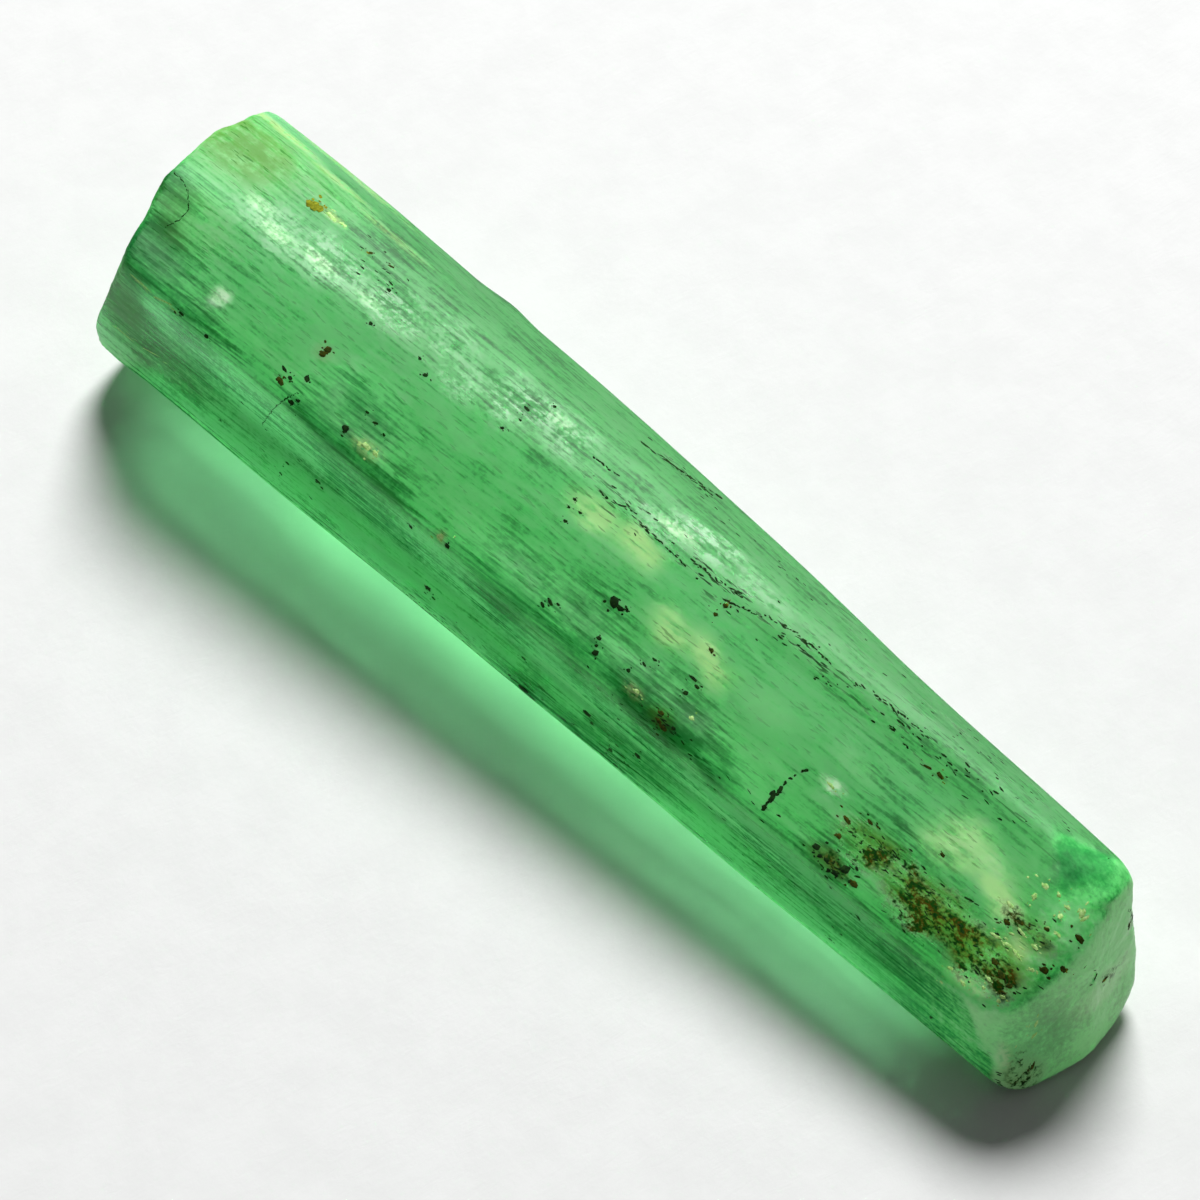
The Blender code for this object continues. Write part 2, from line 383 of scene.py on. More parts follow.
def relief(point, broken, tip):
    # how far the surface lies below the solid's, in millimetres
    x, y, z = point / mm
    flank = (1.0 - broken) * (1.0 - tip)
    along, across = skin["striaeScale"]
    striae = noise.noise(Vector((x * along, y * across, z * across)))
    along, across = skin["hairScale"]
    hair = noise.noise(Vector((x * along + skin["hairStart"], y * across, z * across)))
    grain = noise.fractal(Vector((x, y, z)) * skin["grainScale"], *skin["grainOctaves"])
    etched = skin["grain"] * (1.0 + grain)
    grown = skin["striae"] * (1.0 + striae) + skin["hair"] * (1.0 + hair)
    return flank * grown + (1.0 - flank) * etched


def softened(grid, spreads):
    # rounds the edges of a grid of rings, whose two ends close over the crystal's ends
    half = grid.shape[1] // 2
    gaps = [np.linalg.norm(np.diff(grid, axis=axis), axis=2) for axis in (1, 0)]
    # the last ten rings, over the free end, give the spacing along the crystal
    spreads = (spreads[0] * mm / gaps[0].mean(), spreads[1] * mm / np.median(gaps[1][-10:]))
    for axis, spread in ((1, spreads[0]), (0, spreads[1])):
        reach = math.ceil(spread * 3.0)
        before = np.roll(grid[:reach][::-1], half, axis=1)
        after = np.roll(grid[-reach:][::-1], half, axis=1)
        padded = grid if axis == 1 else np.concatenate([before, grid, after])
        total = np.zeros_like(grid)
        weights = [math.exp(-0.5 * (step / spread) ** 2) for step in range(-reach, reach + 1)]
        for step, weight in zip(range(-reach, reach + 1), weights):
            if axis == 1:
                total += np.roll(padded, step, axis=1) * weight
            else:
                total += padded[reach + step:reach + step + len(grid)] * weight
        grid = total / sum(weights)
    return grid


def gridNormals(grid):
    # which way the skin faces at each point, from the points beside it
    half = grid.shape[1] // 2
    before = np.roll(grid[:1], half, axis=1)
    after = np.roll(grid[-1:], half, axis=1)
    padded = np.concatenate([before, grid, after])
    along = padded[2:] - padded[:-2]
    across = np.roll(grid, -1, axis=1) - np.roll(grid, 1, axis=1)
    normals = np.cross(across, along)
    return normals / np.linalg.norm(normals, axis=2, keepdims=True)


def paint(body, name, colours):
    # keeps a colour for each point of the skin
    layer = body.data.color_attributes.new(name, "FLOAT_COLOR", "POINT")
    layer.data.foreach_set("color", np.array(colours, dtype=np.float32).ravel())


def makeSkin():
    deselect()
    rows = ringPlaces()
    rings = len(rows) + 1
    around = skin["around"]
    bpy.ops.mesh.primitive_uv_sphere_add(segments=around, ring_count=rings, radius=1.0)
    body = bpy.context.object
    body.name = "crystal"
    grid = np.array([evenHits(Vector((x, axisY, axisZ)), tilt, around) for x, tilt in rows])
    smooth = softened(grid, skin["soften"])
    for share, spreads in ((crispShare, skin["crisp"]), (wornShare, skin["worn"])):
        shares = np.array([share(Vector(point) / mm) for point in grid.reshape(-1, 3)])
        shares = shares.reshape(len(rows), around, 1)
        smooth = smooth * (1.0 - shares) + softened(grid, spreads) * shares
    grid = smooth
    normals = gridNormals(grid)
    ends = []
    facing = []
    for vert in body.data.vertices:
        k = round(math.acos(max(-1.0, min(1.0, -vert.co.z))) / math.pi * rings)
        j = round(math.atan2(vert.co.y, vert.co.x) / math.tau * around) % around
        row = min(max(k - 1, 0), len(rows) - 1)
        point, normal = Vector(grid[row, j]), Vector(normals[row, j])
        if k in (0, rings):
            point = Vector(grid[row].mean(axis=0))
            normal = Vector((-1.0 if k == 0 else 1.0, 0.0, 0.0))
        broken, tip = endShares(point, normal)
        vert.co = point - normal * relief(point, broken, tip) * mm
        ends.append((broken, tip, easing(point.x / mm, *skin["murkyPlace"]), 1.0))
        facing.append((-normal.y * 0.5 + 0.5, normal.z * 0.5 + 0.5, 0.0, 1.0))
    paint(body, "ends", ends)
    paint(body, "facing", facing)
    body.select_set(True)
    bpy.context.view_layer.objects.active = body
    bpy.ops.object.mode_set(mode="EDIT")
    bpy.ops.mesh.select_all(action="SELECT")
    bpy.ops.mesh.normals_make_consistent(inside=False)
    bpy.ops.object.mode_set(mode="OBJECT")
    bpy.ops.object.shade_smooth_by_angle(angle=smoothAngle)
    return body


crystal = makeSkin()
print("skin drawn:", len(crystal.data.polygons), "faces")

# zones inside the stone and stains on it: centre, half size (mm) and strength
zones = {
    "deep": (
        ((-8.35, -0.60, 3.50), (0.80, 0.60, 0.60), 0.7),
        ((-8.05, -1.40, 3.00), (0.90, 0.70, 0.80), 1.0),
        ((-8.25, -1.78, 2.10), (0.70, 0.40, 0.90), 0.7),
        ((-7.10, -1.78, 2.00), (1.30, 0.40, 0.90), 0.6),
        ((-7.00, -1.70, 2.80), (0.80, 0.60, 0.70), 0.6),
        ((-4.00, -1.30, 2.90), (1.00, 0.80, 0.90), 1.0),
        ((-3.30, -1.60, 2.20), (1.10, 0.50, 0.90), 0.7),
        ((-0.50, -1.60, 2.40), (1.10, 0.60, 0.80), 1.0),
        ((0.60, -1.50, 2.40), (1.20, 0.60, 0.70), 0.8),
        ((1.90, -1.50, 2.35), (0.90, 0.50, 0.50), 0.9),
        ((2.70, -1.50, 2.20), (0.90, 0.50, 0.60), 0.8),
        ((3.70, -1.60, 2.10), (0.60, 0.35, 0.40), 0.8),
        ((5.60, -1.62, 2.05), (0.55, 0.25, 0.30), 1.0),
        ((7.60, -1.35, 1.95), (0.55, 0.35, 0.35), 1.0),
        ((8.30, 0.30, 2.76), (0.65, 0.60, 0.40), 0.9),
        ((9.00, -1.30, 0.90), (0.60, 0.90, 0.90), 0.5),
        ((0.80, -1.80, 0.85), (1.50, 0.30, 0.55), 0.8),
        ((2.30, -1.80, 1.10), (1.10, 0.30, 0.50), 0.8),
        ((6.90, -1.80, 0.90), (1.30, 0.30, 0.60), 0.6),
    ),
    "bright": (
        ((-5.50, -0.95, 3.20), (1.10, 0.70, 0.70), 0.8),
        ((-2.10, -1.10, 2.90), (0.90, 0.60, 0.60), 0.5),
        ((-0.40, -0.70, 3.05), (1.10, 0.45, 0.50), 0.6),
        ((3.80, -0.75, 2.65), (1.00, 0.60, 0.60), 1.0),
        ((5.00, -0.85, 2.45), (0.80, 0.45, 0.50), 0.8),
        ((-6.00, -1.80, 1.10), (1.60, 0.40, 0.80), 0.6),
        ((-1.50, -1.80, 0.90), (1.60, 0.40, 0.50), 0.5),
    ),
    "veil": (
        ((-7.00, -0.10, 3.63), (0.80, 0.40, 0.40), 0.7),
        ((-5.80, 0.00, 3.57), (0.90, 0.45, 0.40), 0.9),
        ((-4.60, 0.10, 3.52), (0.80, 0.45, 0.40), 0.9),
        ((-3.70, 0.30, 3.50), (0.70, 0.45, 0.40), 0.6),
        ((-2.10, 0.20, 3.40), (0.80, 0.50, 0.40), 1.0),
        ((-1.30, 0.20, 3.35), (0.70, 0.40, 0.40), 0.8),
        ((0.60, 0.10, 3.30), (0.70, 0.30, 0.30), 0.7),
        ((1.20, 0.32, 3.25), (0.90, 0.24, 0.30), 1.0),
        ((2.30, 0.30, 3.15), (0.80, 0.22, 0.30), 0.7),
        ((5.02, -0.94, 2.41), (0.26, 0.14, 0.20), 1.0),
        ((-6.20, -0.30, 3.60), (0.90, 0.30, 0.30), 0.7),
        ((-3.00, -0.10, 3.40), (0.70, 0.35, 0.30), 0.7),
        ((-6.67, -1.31, 3.14), (0.22, 0.20, 0.20), 1.0),
        ((6.80, -0.45, 2.60), (0.40, 0.25, 0.30), 0.3),
    ),
    "yellow": (
        ((-0.05, -0.32, 3.20), (0.60, 0.26, 0.30), 0.9),
        ((0.65, -0.35, 3.12), (0.65, 0.32, 0.30), 1.0),
        ((1.90, -0.75, 2.80), (0.60, 0.28, 0.30), 0.9),
        ((2.50, -0.80, 2.70), (0.60, 0.34, 0.30), 1.0),
        ((7.15, -0.50, 2.50), (1.05, 0.36, 0.36), 0.7),
        ((7.75, -0.66, 2.38), (0.55, 0.26, 0.30), 0.9),
        ((8.28, -0.96, 2.16), (0.26, 0.12, 0.20), 0.8),
    ),
    "rust": (
        ((5.90, -1.20, 2.22), (0.55, 0.30, 0.30), 1.0),
        ((6.45, -1.05, 2.22), (0.50, 0.20, 0.30), 0.9),
        ((7.10, -1.28, 2.06), (0.85, 0.40, 0.34), 1.0),
        ((7.70, -1.22, 2.06), (0.70, 0.28, 0.32), 1.0),
        ((8.35, -1.38, 1.94), (0.65, 0.34, 0.35), 1.0),
        ((8.25, -0.72, 2.30), (0.45, 0.18, 0.30), 0.8),
        ((9.10, 0.10, 1.15), (0.40, 0.50, 0.16), 0.6),
        ((8.95, 0.80, 1.75), (0.30, 0.20, 0.50), 0.5),
        ((9.10, -1.46, 0.46), (0.40, 0.35, 0.45), 1.0),
        ((2.52, -1.67, 2.22), (0.20, 0.14, 0.16), 0.8),
        ((5.75, -1.60, 2.02), (0.35, 0.16, 0.20), 0.7),
    ),
    "runs": (
        ((0.20, 0.00, 3.30), (1.20, 0.30, 0.30), 0.8),
        ((1.80, 0.00, 3.20), (1.20, 0.32, 0.30), 1.0),
        ((3.40, 0.05, 3.10), (1.40, 0.30, 0.30), 1.0),
        ((5.20, 0.10, 2.95), (1.40, 0.25, 0.30), 0.8),
        ((6.90, 0.15, 2.85), (1.20, 0.22, 0.25), 0.6),
        ((0.20, 1.16, 3.00), (0.80, 0.16, 0.22), 1.0),
        ((2.60, 0.90, 2.90), (2.20, 0.25, 0.30), 0.6),
        ((6.20, 0.60, 2.75), (2.20, 0.25, 0.30), 0.6),
        ((-5.20, 0.45, 3.60), (0.70, 0.35, 0.30), 0.5),
        ((-5.00, -1.75, 1.40), (1.60, 0.20, 0.60), 0.4),
        ((-1.80, -1.78, 0.70), (1.50, 0.20, 0.35), 0.8),
        ((1.40, -1.78, 0.90), (1.80, 0.20, 0.50), 0.9),
        ((4.60, -1.78, 1.10), (1.60, 0.20, 0.60), 0.7),
        ((3.00, -1.70, 2.10), (1.50, 0.20, 0.30), 0.5),
    ),
    "cream": (
        ((-6.42, 0.59, 3.63), (0.30, 0.10, 0.20), 0.9),
        ((-3.40, -1.53, 2.81), (0.34, 0.14, 0.20), 0.6),
        ((-1.72, -1.75, 2.50), (0.16, 0.12, 0.14), 0.9),
        ((1.98, -1.61, 2.31), (0.22, 0.12, 0.14), 0.5),
        ((8.97, -1.68, 1.06), (0.20, 0.14, 0.50), 0.6),
        ((8.20, -1.66, 1.80), (0.50, 0.12, 0.14), 0.5),
        ((-7.00, 1.64, 3.20), (2.40, 0.12, 0.16), 0.8),
        ((-8.20, 1.33, 3.50), (1.00, 0.12, 0.14), 0.9),
        ((-6.90, 1.22, 3.50), (1.10, 0.10, 0.14), 0.7),
        ((-5.60, 1.06, 3.47), (1.10, 0.09, 0.14), 0.6),
    ),
    # painted glints: soft bright spots where light catches the stone
    "glint": (
        ((5.00, -0.93, 2.42), (0.20, 0.10, 0.16), 1.0),
        ((5.08, -0.57, 2.64), (0.50, 0.20, 0.20), 0.35),
        ((-6.71, -1.28, 3.16), (0.22, 0.16, 0.20), 0.8),
        ((-7.29, 0.02, 3.63), (0.30, 0.14, 0.20), 0.6),
        ((-6.74, -0.17, 3.62), (0.40, 0.14, 0.20), 0.8),
        ((-5.93, -0.09, 3.58), (0.40, 0.14, 0.20), 0.8),
        ((-4.92, -0.05, 3.52), (0.34, 0.12, 0.20), 0.5),
        ((-1.52, 0.36, 3.42), (0.30, 0.12, 0.20), 0.5),
        ((0.90, 0.20, 3.25), (0.45, 0.10, 0.20), 0.8),
        ((3.60, -0.75, 2.65), (0.60, 0.30, 0.20), 0.3),
        ((7.45, -0.45, 2.56), (0.30, 0.16, 0.16), 0.3),
        ((8.95, -1.68, 1.15), (0.20, 0.10, 0.40), 0.7),
    ),
    "wash": (
        ((-8.30, 0.65, 3.70), (1.50, 0.90, 0.60), 1.0),
        ((-7.30, 0.95, 3.70), (1.60, 0.45, 0.40), 0.6),
        ((-7.80, -0.80, 3.50), (1.10, 0.60, 0.50), 0.5),
        ((-8.40, -1.78, 2.00), (0.80, 0.40, 1.20), 0.5),
        ((6.00, -1.16, 2.22), (0.75, 0.40, 0.30), 0.9),
        ((7.10, -1.24, 2.10), (1.10, 0.46, 0.32), 1.0),
        ((8.15, -1.25, 2.02), (1.00, 0.50, 0.36), 1.0),
        ((8.45, -0.74, 2.28), (0.50, 0.34, 0.30), 0.8),
        ((9.10, 0.00, 1.10), (0.30, 0.80, 0.30), 0.4),
        ((9.05, -1.50, 0.40), (0.40, 0.40, 0.40), 0.7),
        ((2.50, -1.65, 2.24), (0.30, 0.20, 0.20), 0.7),
        ((-4.85, -1.00, 3.20), (0.20, 0.16, 0.16), 0.6),
        ((5.60, -1.62, 2.02), (0.50, 0.22, 0.24), 0.6),
    ),
    "reach": 1.25,                      # how far each one fades out, in half sizes
    "fade": 0.9,                        # how much of that it fades over
    "wander": {"zones": 0.22, "marks": 0.22, "spots": 0.05},    # mm, how ragged their edges are
    "wanderScale": 1.7,                 # per mm
    "seed": 4,
}


def strengths(points, rows):
    # how strongly each point lies in the zones: 1 in their middle, easing to 0 at the edge
    most = np.zeros(len(points))
    for centre, size, strength in rows:
        away = np.linalg.norm((points - centre) / size, axis=1)
        share = np.clip((zones["reach"] - away) / zones["fade"], 0.0, 1.0)
        most = np.maximum(most, strength * share * share * (3.0 - 2.0 * share))
    return most


def paintZones(body):
    points = np.empty(len(body.data.vertices) * 3)
    body.data.vertices.foreach_get("co", points)
    points = points.reshape(-1, 3) / mm
    noise.seed_set(zones["seed"])       # the vector noise follows the clock otherwise
    drift = np.array([noise.noise_vector(Vector(point) * zones["wanderScale"]) for point in points])
    full = np.ones(len(points))
    layers = {
        "zones": ("deep", "bright", "veil"),
        "marks": ("yellow", "rust", "runs"),
        "spots": ("cream", "glint", "wash"),
    }
    for layer, names in layers.items():
        shaken = points + drift * zones["wander"][layer]
        paint(body, layer, np.stack([strengths(shaken, zones[name]) for name in names] + [full], axis=1))


paintZones(crystal)

# the emerald itself

emerald = {
    "ior": 1.577,
    "sideRough": 0.22,
    "topRough": 0.6,
    "milkGloss": 0.06,
    "tint": (0.60, 1.00, 0.70),
    "tinted": 0.5,                      # how much of the tint the clear part takes
    "absorb": (0.32, 0.98, 0.60),
    "density": 190.0,                   # per metre
    "glow": (0.58, 1.00, 0.66),         # the light that passes the milky part: pale, deep and yellow
    "dimGlow": (0.015, 0.24, 0.045),
    "warmGlow": (0.84, 1.00, 0.56),
    "warmed": 0.9,                      # how much of the last one the yellow patches take
    "glowRise": 1.65,                   # how fast it brightens with the tone, and where it starts
    "glowStart": 0.05,
    "deep": srgb(4, 100, 50),
    "low": srgb(48, 170, 78),
    "middle": srgb(112, 236, 128),
    "high": srgb(176, 255, 180),
    "frost": srgb(204, 242, 208),
    "glint": srgb(216, 255, 206),
    "olive": srgb(84, 134, 40),
    "moss": srgb(30, 104, 34),
    "yellow": srgb(208, 255, 172),
    "cream": srgb(186, 200, 132),
    "end": srgb(204, 255, 192),
    "rust": srgb(74, 62, 4),
    "bog": srgb(18, 66, 8),
    "dark": srgb(16, 48, 12),
    # its patterns: scale along and across it (per mm), detail and roughness
    "patterns": {
        "striae": ((0.38, 12.0, 12.0), 3.0, 0.62),
        "hair": ((1.1, 34.0, 34.0), 2.0, 0.5),
        "cloud": ((0.45, 0.8, 0.8), 1.0),
        "mottle": ((2.4, 4.0, 4.0), 4.0, 0.68),
        "grain": ((12.0, 16.0, 16.0), 2.0, 0.6),
        "dash": ((2.4, 21.0, 21.0), 2.0, 0.6),
        "groove": ((0.24, 17.0, 17.0), 1.0),
    },
    # where in its pattern each mark starts and is full, and how strong it is there, if not 0 and 1
    "starts": {
        "groove": (0.50, 0.62),
        "filmAndSheen": (0.3, 0.7, 0.1, 0.4),
        "frost": (0.40, 0.58),
        "yellow": (0.32, 0.52, 0.35, 1.0),
        "cream": (0.35, 0.5),
        "wash": (0.25, 0.6, 0.5, 0.9),
        "stain": (0.43, 0.60),
        "bog": (0.4, 0.6),
        "moss": (0.60, 0.68),
        "flecks": (0.56, 0.64),
        "spots": (0.60, 0.68),
        "glint": (0.3, 0.6, 0.5, 1.0),
    },
    # how strongly some of them cover the stone, below being the painted shade on the underside
    "cover": {"frost": 0.9, "cream": 0.8, "stain": 1.4, "moss": 0.6, "end": 0.6, "below": 0.15},
    # the tone runs from 0 in the deepest green to 1 in the palest: what each pattern and zone does to it,
    # and the painted light and shade by facing
    "ramp": (("deep", 0.0), ("low", 0.3), ("middle", 0.62), ("high", 1.0)),
    "tones": {
        "base": 0.66,
        "striae": 1.1,
        "hair": 1.0,
        "groove": -0.34,
        "mottle": 1.1,
        "grain": 0.9,
        "cloud": 1.3,
        "deep": -0.6,
        "bright": 0.4,
        # painted light on the upward faces and painted shade on the downward ones
        "top": 0.12,
        "side": -0.04,
    },
    # how far lines, specks and film fade in the deep zones, the murky part and the free end
    "calm": {"deepLines": 0.5, "murkyLines": 0.5, "deepSpecks": 0.7, "tipFilm": 0.8},
    # how milky the stone is, how much light passes its milk, and how far each place dims that light, with
    # painted shade on the steep faces
    "milky": {
        "base": 0.5, "top": 0.12, "crest": -0.1, "back": -0.5, "below": 0.5, "rim": 0.5, "under": -0.65,
        "ends": 0.3, "murky": 0.4, "deep": 0.25, "frost": 0.3, "yellow": 0.5, "stain": 0.7, "marks": 0.4,
        "wash": 0.35, "glint": 0.35, "cream": 0.35,
    },
    "passing": {
        "base": 0.85, "top": -0.1, "below": -0.3, "rim": -0.4, "tipTop": -0.3, "murky": -0.6, "deep": -0.28,
        "frost": -0.4, "yellow": -0.4, "stain": -0.7, "marks": -0.7, "wash": -0.75, "glint": -0.3,
        "cream": -0.5,
    },
    "dimmed": {"marks": 0.8, "stain": 0.6, "wash": 0.55, "steepShade": 0.3, "murkyFlank": 0.6},
}


def emeraldMaterial():
    stone = Material("emerald")
    starts, cover, tones, calm = [emerald[name] for name in ("starts", "cover", "tones", "calm")]

    def layer(name):
        colour = stone.node("ShaderNodeAttribute", {"attribute_name": name})
        parts = stone.node("ShaderNodeSeparateColor", None, [colour])
        return [Link(stone, output) for output in parts.socket.node.outputs]

    broken, tip, murky = layer("ends")
    front, up, _ = layer("facing")      # 0 is to the back or down, 1 to the front or up
    deep, bright, veil = layer("zones")
    yellow, rust, runs = layer("marks")
    cream, glint, wash = layer("spots")
    flank = (1.0 - broken) * (1.0 - tip)
    patterns = [stone.noise(*row) for row in emerald["patterns"].values()]
    striae, hair, cloud, mottle, grain, dash, groove = patterns

    # the tone, from patterns that vary about 0.5, and the green that a ramp makes of it
    lines = (striae - 0.5) * tones["striae"] + (hair - 0.5) * tones["hair"]
    lines = lines + stone.step(groove, *starts["groove"]) * tones["groove"]
    lines = lines * flank * (1.0 - deep * calm["deepLines"]) * (1.0 - murky * calm["murkyLines"])
    specks = (mottle - 0.5) * tones["mottle"] + (grain - 0.5) * tones["grain"]
    specks = specks * (1.0 - deep * calm["deepSpecks"])
    tone = tones["base"] + lines + specks + (cloud - 0.5) * tones["cloud"]
    tone = tone + deep * tones["deep"] + bright * tones["bright"]
    # the upward faces are painted lighter and the downward ones darker, by how the light falls on them
    tone = tone + stone.step(up, 0.7, 0.95) * tones["top"] + stone.step(up, 0.62, 0.5) * tones["side"]
    stops = [(place, emerald[name]) for name, place in emerald["ramp"]]
    colour = stone.node("ShaderNodeValToRGB", {"stops": stops}, [tone])

    # what lies in the skin, one coat over the other, with a painted sheen on the upward faces, painted
    # glints and painted shade on the underside among them
    # a pale film on the upward faces, partly frosting and partly a painted sheen where they catch the lamp
    filmAndSheen = stone.step(up, 0.85, 0.97) * stone.step(mottle + lines * 0.5, *starts["filmAndSheen"])
    filmAndSheen = filmAndSheen * (1.0 - tip * calm["tipFilm"]) * (1.0 - wash)
    frost = veil * stone.step((mottle + grain + striae - 0.5) * 0.5, *starts["frost"])
    yellow = yellow * stone.step((mottle + striae) * 0.5, *starts["yellow"])
    stain = rust * stone.step(mottle * 0.6 + grain * 0.4, *starts["stain"])
    stain = (stain * cover["stain"]).atMost(1.0)
    moss = stone.step(dash, *starts["moss"]) * flank * cover["moss"]
    flecks = stone.step(dash, *starts["flecks"]) * runs * flank
    flecks = flecks.atLeast(stone.step(grain, *starts["spots"]) * rust).atMost(1.0)
    end = tip * (1.0 - stain) * (1.0 - deep) * stone.step(up, 0.78, 0.62)
    below = stone.step(up, 0.4, 0.15) * stone.step(front, 0.7, 0.5)
    coats = (
        (filmAndSheen, emerald["frost"]),
        (frost * cover["frost"], emerald["frost"]),
        (yellow, emerald["yellow"]),
        (cream * stone.step(grain, *starts["cream"]) * cover["cream"], emerald["cream"]),
        (wash * stone.step(mottle, *starts["wash"]), emerald["olive"]),
        (stain, stone.mix(stone.step(grain, *starts["bog"]), emerald["rust"], emerald["bog"])),
        (moss, emerald["moss"]),
        (flecks, emerald["dark"]),
        # painted glints
        (glint * stone.step(grain, *starts["glint"]), emerald["glint"]),
        (end * cover["end"], emerald["end"]),
        # painted shade: the faces underneath darkened toward the deep green
        (below * cover["below"], emerald["deep"]),
    )
    for amount, coat in coats:
        colour = stone.mix(amount, colour, coat)

    # the faces that lie underneath are the dullest, and the upper ones catch the most light
    murky = murky * stone.step(up, 0.85, 0.7)
    masks = {
        "top": stone.step(up, 0.6, 0.8),
        "crest": stone.step(up, 0.88, 0.96),
        "steepShade": stone.step(up, 0.8, 0.6),
        "back": stone.step(front, 0.4, 0.05),
        "below": below,
        "rim": stone.step(up, 0.49, 0.40) * stone.step(front, 0.8, 0.95),
        "under": stone.step(up, 0.35, 0.2) * stone.step(front, 0.6, 0.8) * (1.0 - murky),
        "ends": 1.0 - flank,
        "tipTop": tip * stone.step(up, 0.7, 0.85),
        "murky": murky,
        "murkyFlank": murky * (1.0 - tip),
        "deep": deep,
        "frost": frost,
        "yellow": yellow,
        "stain": stain,
        "marks": flecks.atLeast(moss * 0.5),
        "wash": wash,
        "glint": glint,
        "cream": cream,
    }

    def added(amounts):
        # the base and what each place adds to it
        total = amounts["base"]
        for name, amount in amounts.items():
            if name != "base":
                total = masks[name] * amount + total
        return total

    # the glow is dimmed on the steep and lower faces, a painted shade on the side turned from the lamp
    lit = (tone * emerald["glowRise"] + emerald["glowStart"]).atMost(1.0)
    for name, amount in emerald["dimmed"].items():
        lit = lit * (1.0 - masks[name] * amount)

    rough = stone.step(up, 0.5, 0.9, emerald["sideRough"], emerald["topRough"])
    clear = stone.node("ShaderNodeBsdfPrincipled", None, {
        "Base Color": stone.mix(emerald["tinted"], colour, emerald["tint"]),
        "Roughness": rough,
        "IOR": emerald["ior"],
        "Transmission Weight": 1.0,
    })
    milk = stone.node("ShaderNodeBsdfPrincipled", None, {
        "Base Color": colour,
        "Roughness": rough,
        "Specular IOR Level": emerald["milkGloss"],
    })
    dim, glow, warm = [
        stone.node("ShaderNodeBsdfTranslucent", None, {"Color": (*emerald[name], 1.0)})
        for name in ("dimGlow", "glow", "warmGlow")
    ]
    through = stone.node("ShaderNodeMixShader", None, [lit, dim, glow])
    through = stone.node("ShaderNodeMixShader", None, [yellow * emerald["warmed"], through, warm])
    milk = stone.node("ShaderNodeMixShader", None, [added(emerald["passing"]), milk, through])
    share = added(emerald["milky"]).atMost(1.0)
    stone.surface(stone.node("ShaderNodeMixShader", None, [share, clear, milk]))
    absorbed = {"Color": (*emerald["absorb"], 1.0), "Density": emerald["density"]}
    stone.volume(stone.node("ShaderNodeVolumeAbsorption", None, absorbed))
    return stone.data


crystal.data.materials.append(emeraldMaterial())
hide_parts("emerald_crystal")
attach(crystal, "root")
print("emerald finished")

